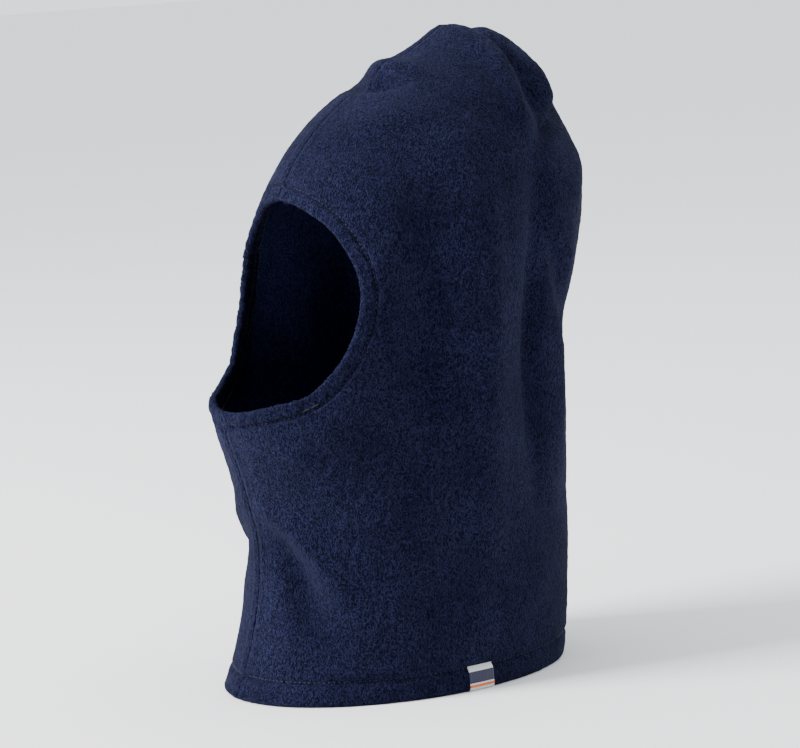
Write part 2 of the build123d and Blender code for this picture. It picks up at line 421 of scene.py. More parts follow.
# the round top of the seam's raw edges stands up by this and drops by this
FIN_CROWN, FIN_DROP = 0.0001, 0.0003
HEM_PROFILE = [(HEM_RADIUS * math.sin(a), HEM_RADIUS * (1 - math.cos(a))) for a in TURN]
HEM_PROFILE += [(-FLAT_STEP * k, 2 * HEM_RADIUS) for k in range(1, FLAT_ROWS + 1)]
NECK_PROFILE = HEM_PROFILE + [(-FLAT_STEP * (FLAT_ROWS + k), 2 * HEM_RADIUS) for k in (1, 2)]
# the raw edge of the turned-in ply is as deep as the cloth is thick
RAW_EDGE_DEPTH = 2 * HEM_RADIUS - CLOTH_THICKNESS
HEM_PROFILE.append((HEM_PROFILE[-1][0], RAW_EDGE_DEPTH))
NECK_PROFILE.append((NECK_PROFILE[-1][0], RAW_EDGE_DEPTH))
SEAM_PROFILE = [(SEAM_RADIUS * math.sin(a), SEAM_RADIUS * (1 - math.cos(a))) for a in TURN[:3]]
SEAM_PROFILE += [(SEAM_RADIUS, SEAM_RADIUS + FIN_STEP * k) for k in range(1, FLAT_ROWS + 1)]
FIN_DEPTH = SEAM_PROFILE[-1][1]
FIN_BACK = SEAM_RADIUS - CLOTH_THICKNESS
SEAM_PROFILE += [(0.0, FIN_DEPTH + FIN_CROWN), (FIN_BACK, FIN_DEPTH - FIN_DROP)]
FIN_SIDE = np.linspace(FIN_DEPTH - FIN_DROP, CLOTH_THICKNESS, 3)[1:]
SEAM_PROFILE += [(FIN_BACK, deep) for deep in FIN_SIDE]
HEM_PROFILE, SEAM_PROFILE, NECK_PROFILE = map(np.array, (HEM_PROFILE, SEAM_PROFILE, NECK_PROFILE))
print("profile rows:", len(HEM_PROFILE), len(SEAM_PROFILE), len(NECK_PROFILE))

# %% [markdown]
# ## From a cut panel to cloth
# The fine grid is drawn in at its edges, lifted by the folds and pressed down
# where it is sewn. Then the turned rows are added all round, and a pebbled nap
# covers everything.

# %% Measures of the sewn cloth, in metres unless it says otherwise
NECK_STITCH_HEIGHT = 0.0140
FACE_STITCH_INSET = 0.0085
NAP_DEPTH = 0.00045
# how far from the hems and from the seam the cloth is still drawn in
HEM_DRAW, SEAM_DRAW = 0.006, 0.003
# this near the rim the seam is drawn in less, down to this share
SEAM_EASE, SEAM_EASE_LEAST = 0.004, 0.35
GROOVE_DEPTH, GROOVE_WIDTH = 0.0020, 0.0015
# the cloth beside the middle seam: how high it stands, where, and how widely
BANK_HEIGHT, BANK_PLACE, BANK_WIDTH = 0.0006, 0.0045, 0.002
RIM_GATHERS = 26
GATHER_HEIGHT, GATHER_REACH = 0.0004, 0.008
# folds fade out near the rim and the hem, down to half their height
CALM_RIM, CALM_HEM, CALM_LEAST = 0.012, 0.02, 0.5
# soft lumps: size in millimetres and height
BROAD_LUMP, SMALL_LUMP = (55, 0.0011), (17, 0.0004)
# sizes in millimetres of the unevenness in the grooves and the gathers
PUCKER_LUMP, WANDER_LUMP, GATHER_LUMP = 7, 34, 23
# curls of the nap: share of its depth and size in millimetres
FINE_CURL, WIDE_CURL = (0.55, 2.6), (0.45, 5.5)
# both sides share their lift this near the middle seam
SHARED_REACH, SHARED_WIDTH = 0.024, 0.008
# how many neighbours on each side smooth the directions of an edge
EDGE_SOFTNESS, WAY_SOFTNESS = 8, 6
# rows that run back past this lie under the cloth
TUCKED = -0.0001


def normals(grid):
    """The outward direction at every point of a grid."""
    return unit(np.cross(np.gradient(grid, axis=0), np.gradient(grid, axis=1)))


def soften(values, width):
    """Average a row of values with its neighbours, so that an edge turns smoothly."""
    first, last = values[:1].repeat(width, axis=0), values[-1:].repeat(width, axis=0)
    padded = np.concatenate((first, values, last))
    total = np.cumsum(np.concatenate((np.zeros_like(padded[:1]), padded)), axis=0)
    return (total[2 * width + 1:] - total[:-2 * width - 1]) / (2 * width + 1)


def outward(edge, normal, target):
    """In the cloth, square to an edge and towards a target point."""
    way = unit(target - edge)
    along = unit(soften(np.gradient(edge, axis=0), WAY_SOFTNESS))
    way = way - (way * along).sum(-1, keepdims=True) * along
    way = way - (way * normal).sum(-1, keepdims=True) * normal
    return unit(soften(unit(way), WAY_SOFTNESS))


def extend(edge, way, normal, profile):
    """Extra rows past an edge; the profile has an (out, deep) pair for each point."""
    out, deep = profile[..., 0, None], profile[..., 1, None]
    rows = edge[None] + out * way[None]
    # a row that runs back under the cloth keeps to the hood's curve
    lift = edge - onto(edge)
    under = onto(rows.reshape(-1, 3)).reshape(rows.shape) + lift[None]
    return np.where(out < TUCKED, under, rows) - deep * normal[None]


SEEDS = {"left": 11, "right": 23}
FOLDS = {"left": LEFT_FOLDS, "right": RIGHT_FOLDS}


def lie(points, side):
    """How high one side's folds and soft lumps lift each point."""
    rise = folded(points, FOLDS[side])
    for shift, (size, height) in enumerate((BROAD_LUMP, SMALL_LUMP)):
        rise = rise + height * cloud(points, size, SEEDS[side] + shift)
    return rise


def rise_of(points, side):
    """The lift of one side, which meets the other side's at the middle seam."""
    rise = lie(points, side)
    near = points[:, 0] < SHARED_REACH
    other = lie(points[near], "right" if side == "left" else "left")
    share = 0.5 * np.exp(-(points[near, 0] / SHARED_WIDTH)**2)
    rise[near] = rise[near] * (1 - share) + other * share
    return rise


def tailor(coarse, side, chin_row):
    """One panel as cloth: fine grid, edges drawn in, folds and sewing grooves."""
    grid = refine(refine(coarse, THIRDS), THIRDS)
    normal = normals(grid).reshape(-1, 3)
    flat = grid.reshape(-1, 3)
    rim = grid[0, chin_row * FINE:]
    rim_away, rim_along = nearest(flat, rim[::2])
    # the edges move in by the radius of their turn
    inward = unit(flat - OPENING_CENTRE)
    inward = unit(inward - (inward * normal).sum(1, keepdims=True) * normal)
    flat = flat + inward * (HEM_RADIUS * np.exp(-rim_away / HEM_DRAW))[:, None]
    drawn = SEAM_RADIUS * np.exp(-flat[:, 0] / SEAM_DRAW)
    flat[:, 0] += drawn * np.clip(rim_away / SEAM_EASE, SEAM_EASE_LEAST, 1)
    flat[:, 2] += HEM_RADIUS * np.exp(-flat[:, 2] / HEM_DRAW)
    # sewing pulls a shallow groove, and the cloth stands up beside the seam
    rise = rise_of(flat, side)
    pucker = 1 + 0.5 * cloud(flat, PUCKER_LUMP, SEEDS[side] + 2)
    neck_groove = np.exp(-((flat[:, 2] - NECK_STITCH_HEIGHT) / GROOVE_WIDTH)**2)
    rim_groove = np.exp(-((rim_away - FACE_STITCH_INSET) / GROOVE_WIDTH)**2)
    sewing = -GROOVE_DEPTH * pucker * (neck_groove + rim_groove)
    sewing = sewing + BANK_HEIGHT * np.exp(-((flat[:, 0] - BANK_PLACE) / BANK_WIDTH)**2)
    wander = 5 * cloud(flat, WANDER_LUMP, SEEDS[side] + 4)
    gathers = GATHER_HEIGHT + GATHER_HEIGHT * cloud(flat, GATHER_LUMP, SEEDS[side] + 6)
    gathers = gathers * np.sin(rim_along * RIM_GATHERS * 2 * math.pi + wander)
    gathers = gathers * np.exp(-rim_away / GATHER_REACH)
    calm = np.clip(rim_away / CALM_RIM, CALM_LEAST, 1) * np.clip(flat[:, 2] / CALM_HEM, CALM_LEAST, 1)
    flat = flat + normal * (rise * calm + sewing + gathers)[:, None]
    return flat.reshape(grid.shape), rim_away.reshape(grid.shape[:2])


def turned(grid, chin_row):
    """Add the turned edges on all four sides, and tell how the rim lies."""
    normal = normals(grid)
    chin = chin_row * FINE
    rows = np.arange(grid.shape[1])
    to_middle = np.array((-1.0, 0, 0))
    edge_normal = unit(soften(normal[0], EDGE_SOFTNESS))
    rim_way = outward(grid[0, chin:], edge_normal[chin:], OPENING_CENTRE)
    way = np.vstack((np.repeat(to_middle[None], chin, axis=0), rim_way))
    way = unit(soften(way, 2))
    rim_share = np.clip((rows - chin + 1) / 3, 0, 1)[None, :, None]
    profile = HEM_PROFILE[:, None] * rim_share + SEAM_PROFILE[:, None] * (1 - rim_share)
    front = extend(grid[0], way, edge_normal, profile)[::-1]
    way_back = np.repeat(to_middle[None], len(rows), axis=0)
    back_normal = unit(soften(normal[-1] * (0, 1, 1), EDGE_SOFTNESS))
    seam_profile = np.repeat(SEAM_PROFILE[:, None], len(rows), axis=1)
    back = extend(grid[-1], way_back, back_normal, seam_profile)
    wide = np.concatenate((front, grid, back))
    spread = [edge_normal[None]] * len(HEM_PROFILE) + [normal] + [back_normal[None]] * len(SEAM_PROFILE)
    wide_normal = np.concatenate(spread)
    columns = wide.shape[0]
    down = np.repeat(np.array(((0, 0, -1.0),)), columns, axis=0)
    hem_normal = unit(soften(wide_normal[:, 0], EDGE_SOFTNESS) * (1, 1, 0))
    hem_profile = np.repeat(NECK_PROFILE[:, None], columns, axis=1)
    hem = extend(wide[:, 0], down, hem_normal, hem_profile)[::-1]
    seam_way = np.repeat(to_middle[None], columns, axis=0)
    crown_normal = unit(soften(wide_normal[:, -1] * (0, 1, 1), EDGE_SOFTNESS))
    seam_profile = np.repeat(SEAM_PROFILE[:, None], columns, axis=1)
    crown = extend(wide[:, -1], seam_way, crown_normal, seam_profile)
    hem, crown = np.moveaxis(hem, 0, 1), np.moveaxis(crown, 0, 1)
    rim = {"edge": grid[0, chin:], "way": way[chin:], "normal": edge_normal[chin:]}
    return np.concatenate((hem, wide, crown), axis=1), rim


def nap(grid, seed, depth):
    """Pebbled pile: small lumps that stand out of the cloth."""
    normal = normals(grid).reshape(-1, 3)
    flat = grid.reshape(-1, 3)
    lumps = FINE_CURL[0] * cloud(flat, FINE_CURL[1], seed)
    lumps = lumps + WIDE_CURL[0] * cloud(flat, WIDE_CURL[1], seed + 3)
    return (flat + normal * (depth * lumps)[:, None]).reshape(grid.shape)


def add_mesh(name, points, faces):
    """A smooth Blender mesh from points and faces."""
    mesh = bpy.data.meshes.new(name)
    mesh.from_pydata(points, [], faces)
    mesh.polygons.foreach_set("use_smooth", [True] * len(mesh.polygons))
    piece = bpy.data.objects.new(name, mesh)
    bpy.context.scene.collection.objects.link(piece)
    print(f"{name}: {len(mesh.polygons)} faces")
    return piece


def quads_of(columns, rows, flip=False, first=0):
    """The quads of a grid of points."""
    index = np.arange(columns * rows).reshape(columns, rows) + first
    quads = np.stack((index[:-1, :-1], index[1:, :-1], index[1:, 1:], index[:-1, 1:]), axis=-1)
    quads = quads.reshape(-1, 4)
    return (quads[:, ::-1] if flip else quads).tolist()


def mesh_grid(name, grid, flip):
    return add_mesh(name, grid.reshape(-1, 3).tolist(), quads_of(*grid.shape[:2], flip))


# %% Sew both panels
LINING_STEP = 3
panels, linings, cloths, rims, aways, sewn = {}, {}, {}, {}, {}, {}
MIRROR = {"left": np.array((1.0, 1.0, 1.0)), "right": np.array((-1.0, 1.0, 1.0))}
for side, coarse in (("left", coarse_left), ("right", coarse_right)):
    cloths[side], aways[side] = tailor(coarse, side, CHIN_ROW)
    sewn[side], rims[side] = turned(cloths[side], CHIN_ROW)
    napped = nap(sewn[side], SEEDS[side] + 5, NAP_DEPTH)
    inside = cloths[side] - normals(cloths[side]) * CLOTH_THICKNESS
    lining = nap(inside[::LINING_STEP, ::LINING_STEP], SEEDS[side] + 9, NAP_DEPTH)
    panels[side] = mesh_grid(f"{side}_panel_cloth", napped * MIRROR[side], side == "right")
    linings[side] = mesh_grid(f"{side}_panel_inside", lining * MIRROR[side], side == "left")

# %% [markdown]
# ## Stitches, elastic and overlocking
# Every thread is a tube swept along a line on the cloth. A stitch is a short
# arch whose ends dip into the pile. The overlocking zigzags over both raw edges
# of the middle seam, inside the hood. The elastic is a flat loop that lies in
# the fold of the face hem.

# %% Sweeping and shells
THREAD_RADIUS = 0.00026
STITCH_DIP = 0.0009
RING = np.radians((0, 60, 120, 180, 240, 300))
ROUND = np.stack((np.cos(RING), np.sin(RING)), axis=1)


def sweep(line, normal, outline, closed=False):
    """Points and faces of a tube; outline holds (sideways, up) pairs for each point."""
    along = np.gradient(line, axis=0)
    if closed:
        along = np.roll(line, -1, axis=0) - np.roll(line, 1, axis=0)
    sideways = unit(np.cross(unit(along), normal))
    outline = np.broadcast_to(outline, (len(line), *np.shape(outline)[-2:]))
    points = line[:, None] + outline[..., :1] * sideways[:, None]
    points = points + outline[..., 1:] * normal[:, None]
    index = np.arange(points.shape[0] * points.shape[1]).reshape(points.shape[:2])
    here, ahead = (index, np.roll(index, -1, axis=0)) if closed else (index[:-1], index[1:])
    ring = np.stack((here, np.roll(here, -1, axis=1), np.roll(ahead, -1, axis=1), ahead), axis=-1)
    faces = ring.reshape(-1, 4).tolist()
    if not closed:
        faces += [index[0].tolist()[::-1], index[-1].tolist()]
    return points.reshape(-1, 3), faces


def gather(name, parts):
    """One piece from many (points, faces) parts, with its faces turned outwards."""
    points, faces, first = [], [], 0
    for part_points, part_faces in parts:
        points.append(part_points)
        faces += [[corner + first for corner in face] for face in part_faces]
        first += len(part_points)
    piece = add_mesh(name, np.vstack(points).tolist(), faces)
    tidy = bmesh.new()
    tidy.from_mesh(piece.data)
    bmesh.ops.recalc_face_normals(tidy, faces=tidy.faces)
    tidy.to_mesh(piece.data)
    tidy.free()
    return piece


def shell(name, front, behind, flip):
    """A closed thin sheet from two grids of points."""
    columns, rows = front.shape[:2]
    first = columns * rows
    index = np.arange(first).reshape(columns, rows)
    border = np.concatenate((index[:-1, 0], index[-1, :-1], index[:0:-1, -1], index[0, :0:-1]))
    ahead = np.roll(border, -1)
    rim = np.stack((border, ahead, ahead + first, border + first), axis=-1)
    rim = (rim if flip else rim[:, ::-1]).tolist()
    faces = quads_of(columns, rows, flip) + quads_of(columns, rows, not flip, first) + rim
    points = np.concatenate((front.reshape(-1, 3), behind.reshape(-1, 3)))
    return add_mesh(name, points.tolist(), faces)


def stitches(line, normal, pitch, length, lift):
    """Short arched threads, one every pitch along a line."""
    run = run_of(line)
    reach = np.linspace(-0.5, 0.5, 7)
    arch = 1 - (2 * np.abs(reach))**3
    parts = []
    for number in range(int(run[-1] / pitch)):
        places = (number + 0.5) * pitch + reach * length
        up = unit(read_at(places, run, normal))
        row = read_at(places, run, line) + up * (lift - STITCH_DIP * (1 - arch))[:, None]
        thick = THREAD_RADIUS * (0.35 + 0.65 * arch)
        parts.append(sweep(row, up, ROUND[None] * thick[:, None, None]))
    return parts


def contour(values, level, *fields):
    """Where values first rise through a level in each row, read off each field."""
    below = values < level
    low = np.argmax(below[:-1] & ~below[1:], axis=0)
    rows = np.arange(values.shape[1])
    share = ((level - values[low, rows]) / (values[low + 1, rows] - values[low, rows]))[:, None]
    return [field[low, rows] * (1 - share) + field[low + 1, rows] * share for field in fields]


# %% Sew the hems, the seams and the elastic
STITCH_PITCH, STITCH_LENGTH = 0.0030, 0.0024
OUTSIDE_LIFT, INSIDE_LIFT = 0.0001, 0.0002
FACE_EXTRA_INSET = 0.0058
# where the face and the neck stitches start, beside the middle seam
FACE_START, NECK_START = 0.0035, 0.0032
# rows and columns beside a seam that the threads leave out
RIM_SKIP, SEAM_SKIP = 4, 8


def hem_stitches(line, up, mirror, inside=False):
    """A row of stitches on the outside of a hem, or on its inside."""
    if inside:
        line, up = line - up * (2 * HEM_RADIUS), -up
    lift = INSIDE_LIFT if inside else OUTSIDE_LIFT
    return stitches(line * mirror, up * mirror, STITCH_PITCH, STITCH_LENGTH, lift)


pieces = {}
for side in ("left", "right"):
    cloth, mirror = cloths[side], MIRROR[side]
    normal = normals(cloth)
    first = CHIN_ROW * FINE + RIM_SKIP
    away, face_cloth, face_normal = aways[side][:, first:], cloth[:, first:], normal[:, first:]
    line, up = contour(away, FACE_STITCH_INSET, face_cloth, face_normal)
    inner, = contour(away, FACE_EXTRA_INSET, face_cloth)
    start = line[:1] * (0, 1, 1) + (FACE_START, 0, 0)
    line, up = np.vstack((start, line)), unit(soften(np.vstack((up[:1], up)), 3))
    parts = hem_stitches(line, up, mirror)
    for row in (line[1:], inner):
        parts += hem_stitches(row, up[1:], mirror, True)
    pieces[f"{side}_face_hem_stitching"] = gather(f"{side}_face_stitches", parts)

    high = cloth[..., 2].T
    line, up = contour(high, NECK_STITCH_HEIGHT, cloth.transpose(1, 0, 2), normal.transpose(1, 0, 2))
    up = unit(soften(up, 5) * (1, 1, 0))
    keep = line[:, 0] > NECK_START
    line, up = line[keep], up[keep]
    parts = hem_stitches(line, up, mirror) + hem_stitches(line, up, mirror, True)
    pieces[f"{side}_neck_hem_stitching"] = gather(f"{side}_neck_stitches", parts)


OVERLOCK_STEP = 0.0006
# the thread's gap beside the cloth and past the raw edges, and how wide it bites
OVERLOCK_BESIDE, OVERLOCK_PAST, OVERLOCK_BITE = 0.0002, 0.00035, 0.0022


def overlock(name, line, normal):
    """Zigzag thread over both raw edges of the middle seam."""
    line = even(line * (0, 1, 1), int(run_of(line)[-1] / OVERLOCK_STEP))
    shares = np.linspace(0, 1, len(line))
    normal = unit(read_at(shares, np.linspace(0, 1, len(normal)), normal) * (0, 1, 1))
    beside, deep = CLOTH_THICKNESS + OVERLOCK_BESIDE, FIN_DEPTH + OVERLOCK_PAST
    high = deep - OVERLOCK_BITE
    swing = np.array(((beside, high), (beside, deep), (-beside, deep), (-beside, high)))
    swing = swing[np.arange(len(line)) % 4]
    path = line - normal * swing[:, 1:]
    path[:, 0] += swing[:, 0]
    return gather(name, [sweep(path, unit(normal + 0.05), ROUND[None] * THREAD_RADIUS)])


left = cloths["left"]
left_normal = normals(left)
seam_line, seam_normal = (np.vstack((grid[-1, SEAM_SKIP:], grid[:-1, -1][::-1]))
                          for grid in (left, left_normal))
seam_normal = soften(seam_normal, EDGE_SOFTNESS)
pieces["back_and_crown_seam_thread"] = overlock("back_seam_thread", seam_line, seam_normal)
chin_rows = slice(SEAM_SKIP, CHIN_ROW * FINE - SEAM_SKIP)
chin_normal = soften(left_normal[0, chin_rows], EDGE_SOFTNESS)
pieces["front_neck_seam_thread"] = overlock("front_seam_thread", left[0, chin_rows], chin_normal)

ELASTIC_INSET = 0.003
ELASTIC_HALF_WIDTH, ELASTIC_HALF_THICKNESS = 0.002, 0.0004
loop, loop_normal = [], []
for side, order in (("left", 1), ("right", -1)):
    rim = rims[side]
    centre = rim["edge"] - rim["way"] * ELASTIC_INSET - rim["normal"] * HEM_RADIUS
    loop.append((centre * MIRROR[side])[2:-2][::order])
    loop_normal.append((rim["normal"] * MIRROR[side])[2:-2][::order])
ribbon = np.array(((-1, -1), (1, -1), (1, 1), (-1, 1))) * (ELASTIC_HALF_WIDTH, ELASTIC_HALF_THICKNESS)
band = sweep(np.vstack(loop), np.vstack(loop_normal), ribbon, True)
pieces["face_elastic"] = gather("face_elastic_loop", [band])

# %% [markdown]
# ## Labels
# The woven hem label is a strip folded over the neck hem, so it takes its shape
# from the turned cloth under it. The care label is a satin strip that hangs
# from the back seam, free to swing.

# %% The folded hem label
LABEL_LOW, LABEL_HIGH = corners("hem_label")
LABEL_COLUMNS = 24
# only the wearer's left side of the hem carries the label
LABEL_SIDE = 0.06
LABEL_TOP_GAP = 0.0008
LABEL_GAP, LABEL_THICKNESS, WEAVE_HEIGHT = 0.0004, 0.0005, 0.00008
# height of the stitches over the label's back, and their drop below its top row
LABEL_STITCH_LIFT, LABEL_STITCH_DROP = 0.0006, 0.0006
# the stitches' pitch, length and lift
LABEL_STITCH = (0.0022, 0.0017, 0.0001)
TOP_STITCH_ROW, INNER_STITCH_ROW = -3, 2
hem_row = len(NECK_PROFILE)
strip = sewn["left"]
strip = strip[strip[:, hem_row, 0] > LABEL_SIDE]
last_row = int(np.argmax(strip[0, hem_row:, 2] > LABEL_HIGH[2] - LABEL_TOP_GAP)) + hem_row
wanted = np.linspace(LABEL_LOW[1], LABEL_HIGH[1], LABEL_COLUMNS)
rows = [read_at(wanted, strip[:, row, 1], strip[:, row]) for row in range(1, last_row + 1)]
under = np.stack(rows, axis=1)
label_normal = normals(under)
under = under + label_normal * LABEL_GAP
weave = WEAVE_HEIGHT * np.sin(np.arange(LABEL_COLUMNS) * 2.1)[:, None, None]
face = under + label_normal * (LABEL_THICKNESS + weave)
hem_label = shell("hem_label_strip", face, under, False)
pieces["hem_label"] = hem_label
over = (under + label_normal * LABEL_STITCH_LIFT)[1:-1]
parts = []
for row, fall in ((TOP_STITCH_ROW, LABEL_STITCH_DROP), (INNER_STITCH_ROW, 0)):
    parts += stitches(over[:, row] - (0, 0, fall), label_normal[1:-1, row], *LABEL_STITCH)
pieces["hem_label_stitching"] = gather("hem_label_stitches", parts)
print("label rows:", under.shape, "top:", round(float(under[..., 2].max()), 4))

# %% The hanging care label
CARE_LOW, CARE_HIGH = corners("care_label")
CURL_DEPTH, RIPPLE_DEPTH = 0.0022, 0.0005
CARE_COLUMNS, CARE_ROWS = 29, 45
# the stitches' pitch, length and lift, their gap before the label and their drop
CARE_STITCH = (0.0024, 0.0018, 0.0)
CARE_STITCH_GAP, CARE_STITCH_DROP = 0.0001, 0.0008
SEW_POINTS = 30
care_x = np.linspace(CARE_LOW[0], CARE_HIGH[0], CARE_COLUMNS)[:, None]
care_z = np.linspace(CARE_LOW[2], CARE_HIGH[2], CARE_ROWS)[None, :]
drop = (CARE_HIGH[2] - care_z) / (CARE_HIGH[2] - CARE_LOW[2])
curl = CURL_DEPTH * drop**2 * (care_x / CARE_HIGH[0])**2
curl = curl + RIPPLE_DEPTH * drop * np.sin(care_z * 260 + care_x * 90)
care_y = (CARE_LOW[1] + CARE_HIGH[1]) / 2 - curl
care = np.stack((care_x + 0 * care_z, care_y, care_z + 0 * care_x), axis=-1)
care_normal = normals(care)
half_thick = care_normal * (CARE_HIGH[1] - CARE_LOW[1]) / 2
care_label = shell("care_label_strip", care + half_thick, care - half_thick, False)
pieces["care_label"] = care_label
SEW_LOW, SEW_HIGH = corners("care_label_stitching")
sew_at = (CARE_LOW[1] - CARE_STITCH_GAP, CARE_HIGH[2] - CARE_STITCH_DROP)
sew_line = np.linspace((SEW_LOW[0], *sew_at), (SEW_HIGH[0], *sew_at), SEW_POINTS)
towards_head = np.repeat(np.array(((0, -1.0, 0),)), SEW_POINTS, axis=0)
parts = stitches(sew_line, towards_head, *CARE_STITCH)
pieces["care_label_stitching"] = gather("care_label_stitches", parts)

# %% [markdown]
# ## Shader arithmetic
# Node materials are sums on sockets. A small class wraps a socket, so that an
# expression such as 1 - mask * 0.5 adds its own Math nodes.

# %% A wrapper for sockets
class Flow:
    """A socket that can be used in arithmetic."""

    def __init__(self, tree, socket):
        self.tree, self.socket = tree, socket

    def maths(self, operation, first, second):
        sockets = {0: first, 1: second}
        return Maker(self.tree).node("ShaderNodeMath", {"operation": operation}, sockets)

    def __add__(self, other):
        return self.maths("ADD", self, other)

    def __sub__(self, other):
        return self.maths("SUBTRACT", self, other)

    def __rsub__(self, other):
        return self.maths("SUBTRACT", other, self)

    def __mul__(self, other):
        return self.maths("MULTIPLY", self, other)

    def __rmul__(self, other):
        return self.maths("MULTIPLY", other, self)


class Maker:
    """Adds nodes to one material."""

    def __init__(self, tree):
        self.tree = tree

    def node(self, kind, settings=None, sockets=None, output=0):
        """Add a node; settings come first, then its sockets' values or links."""
        made = self.tree.nodes.new(kind)
        for name, value in (settings or {}).items():
            if name == "stops":
                ramp = made.color_ramp.elements
                while len(ramp) < len(value):
                    ramp.new(0.5)
                for stop, (place, colour) in zip(ramp, value):
                    stop.position, stop.color = place, (*colour, 1)
            else:
                setattr(made, name, value)
        for name, value in (sockets or {}).items():
            if isinstance(value, Flow):
                self.tree.links.new(value.socket, made.inputs[name])
            else:
                made.inputs[name].default_value = value
        return Flow(self.tree, made.outputs[output])


def material(name):
    """A new node material, its maker and its main shader."""
    made = bpy.data.materials.new(name)
    made.use_nodes = True
    shader = made.node_tree.nodes["Principled BSDF"]
    return made, Maker(made.node_tree), shader


def feed(shader, name, flow):
    flow.tree.links.new(flow.socket, shader.inputs[name])


# %% [markdown]
# ## Fleece
# Polar fleece is knitted, then brushed and sheared until it is a low pile of
# tiny curled lumps. From arm's length it reads as a matt navy ground with pale
# specks where the tips of the pile catch light. Two sizes of noise give the
# lumps, which also drive the bump; in the colour their tops carry a painted
# highlight and their pits painted shade, nearly black. Sheen, a glow at
# grazing angles, is what fibres standing on end do to light.

# %% Fleece material
def fleece(name, pit_shade, ground, tip_highlight):
    """Pebbled pile with a colour for its pits, where shade is painted, its ground, and its tips, where
    a highlight is painted.
    """
    made, make, shader = material(name)
    place = make.node("ShaderNodeTexCoord", output=3)
    stretched = make.node("ShaderNodeVectorMath", {"operation": "MULTIPLY"},
                          {0: place, 1: (1.0, 1.0, 0.62)})
    fine = make.node("ShaderNodeTexNoise", {"normalize": True},
                     {"Vector": place, "Scale": 1500.0, "Detail": 2.0, "Roughness": 0.6})
    coil = make.node("ShaderNodeTexNoise", {"normalize": True},
                     {"Vector": stretched, "Scale": 700.0, "Detail": 1.5, "Roughness": 0.5,
                      "Distortion": 0.4})
    broad = make.node("ShaderNodeTexNoise", {"normalize": True},
                      {"Vector": place, "Scale": 26.0, "Detail": 4.0, "Roughness": 0.6})
    apart = coil.maths("ABSOLUTE", coil - 0.5, 0.0)
    pile = fine * 0.55 + 0.45 * (1 - coil.maths("MINIMUM", apart * 7.0, 1.0))
    tone = pile + (broad - 0.5) * 0.34
    # the ramp paints shade into the low pits of the pile and a highlight onto its tips; the broad noise
    # is the cloth's own uneven tone
    stops = ((0.16, pit_shade), (0.50, ground), (0.82, tip_highlight))
    feed(shader, "Base Color", make.node("ShaderNodeValToRGB", {"stops": stops}, {0: tone}))
    bump = make.node("ShaderNodeBump", None, {"Height": pile, "Distance": 0.0012, "Strength": 1.0})
    feed(shader, "Normal", bump)
    shader.inputs["Roughness"].default_value = 0.92
    shader.inputs["Specular IOR Level"].default_value = 0.05
    shader.inputs["Sheen Weight"].default_value = 0.055
    shader.inputs["Sheen Roughness"].default_value = 0.42
    shader.inputs["Sheen Tint"].default_value = (0.30, 0.36, 0.66, 1)
    return made


# pit, ground and tip colours: the pits carry painted shade and the tips a painted highlight
OUTSIDE_COLOURS = ((0.0008, 0.0010, 0.0056), (0.0031, 0.0036, 0.0172), (0.0180, 0.0200, 0.0560))
INSIDE_COLOURS = ((0.0040, 0.0050, 0.0260), (0.0130, 0.0160, 0.0700), (0.0500, 0.0600, 0.1700))
FLEECE = fleece("navy_fleece", *OUTSIDE_COLOURS)
FLEECE_INSIDE = fleece("navy_fleece_inside", *INSIDE_COLOURS)
for side in ("left", "right"):
    panels[side].data.materials.append(FLEECE)
    linings[side].data.materials.append(FLEECE_INSIDE)

# %% [markdown]
# ## Threads and labels
# Thread is smooth polyester in the cloth's own navy. The hem label is woven in
# white with plain bands of navy and orange, placed by height. The care label is
# white satin with two grey bands and no writing.

# %% Thread and label materials
def plain(name, colour, roughness, grain, strength):
    """A smooth coloured material with fine noise in its colour and its relief."""
    made, make, shader = material(name)
    place = make.node("ShaderNodeTexCoord", output=3)
    speck = make.node("ShaderNodeTexNoise", None, {"Vector": place, "Scale": grain, "Detail": 2.0})
    dark = tuple(0.55 * part for part in colour)
    stops = ((0.3, dark), (0.62, colour))
    feed(shader, "Base Color", make.node("ShaderNodeValToRGB", {"stops": stops}, {0: speck}))
    relief = {"Height": speck, "Distance": 0.0003, "Strength": strength}
    feed(shader, "Normal", make.node("ShaderNodeBump", None, relief))
    shader.inputs["Roughness"].default_value = roughness
    return made


def banded(name, ground, bands, weave, roughness, sheen):
    """Cloth with plain bands across it; each is (low, high, colour), heights in metres."""
    made, make, shader = material(name)
    place = make.node("ShaderNodeTexCoord", output=3)
    height = make.node("ShaderNodeSeparateXYZ", None, {0: place}, 2)
    across = make.node("ShaderNodeSeparateXYZ", None, {0: place}, 1)
    colour = make.node("ShaderNodeRGB")
    colour.socket.default_value = (*ground, 1)
    for low, high, paint in bands:
        mask = height.maths("GREATER_THAN", height, low) * height.maths("LESS_THAN", height, high)
        blend = {0: mask, 6: colour, 7: (*paint, 1)}
        colour = make.node("ShaderNodeMix", {"data_type": "RGBA"}, blend, 2)
    warp = across.maths("SINE", across * weave, 0.0)
    weft = height.maths("SINE", height * weave, 0.0)
    cloth = warp * weft * 0.5 + 0.5
    shade = make.node("ShaderNodeMapRange", None, {0: cloth, 3: 0.82, 4: 1.0})
    grey = make.node("ShaderNodeCombineXYZ", None, {0: shade, 1: shade, 2: shade})
    tint = make.node("ShaderNodeMix", {"data_type": "RGBA", "blend_type": "MULTIPLY"},
                     {0: 1.0, 6: colour, 7: grey}, 2)
    feed(shader, "Base Color", tint)
    relief = {"Height": cloth, "Distance": 0.0002, "Strength": 0.5}
    feed(shader, "Normal", make.node("ShaderNodeBump", None, relief))
    shader.inputs["Roughness"].default_value = roughness
    shader.inputs["Sheen Weight"].default_value = sheen
    return made


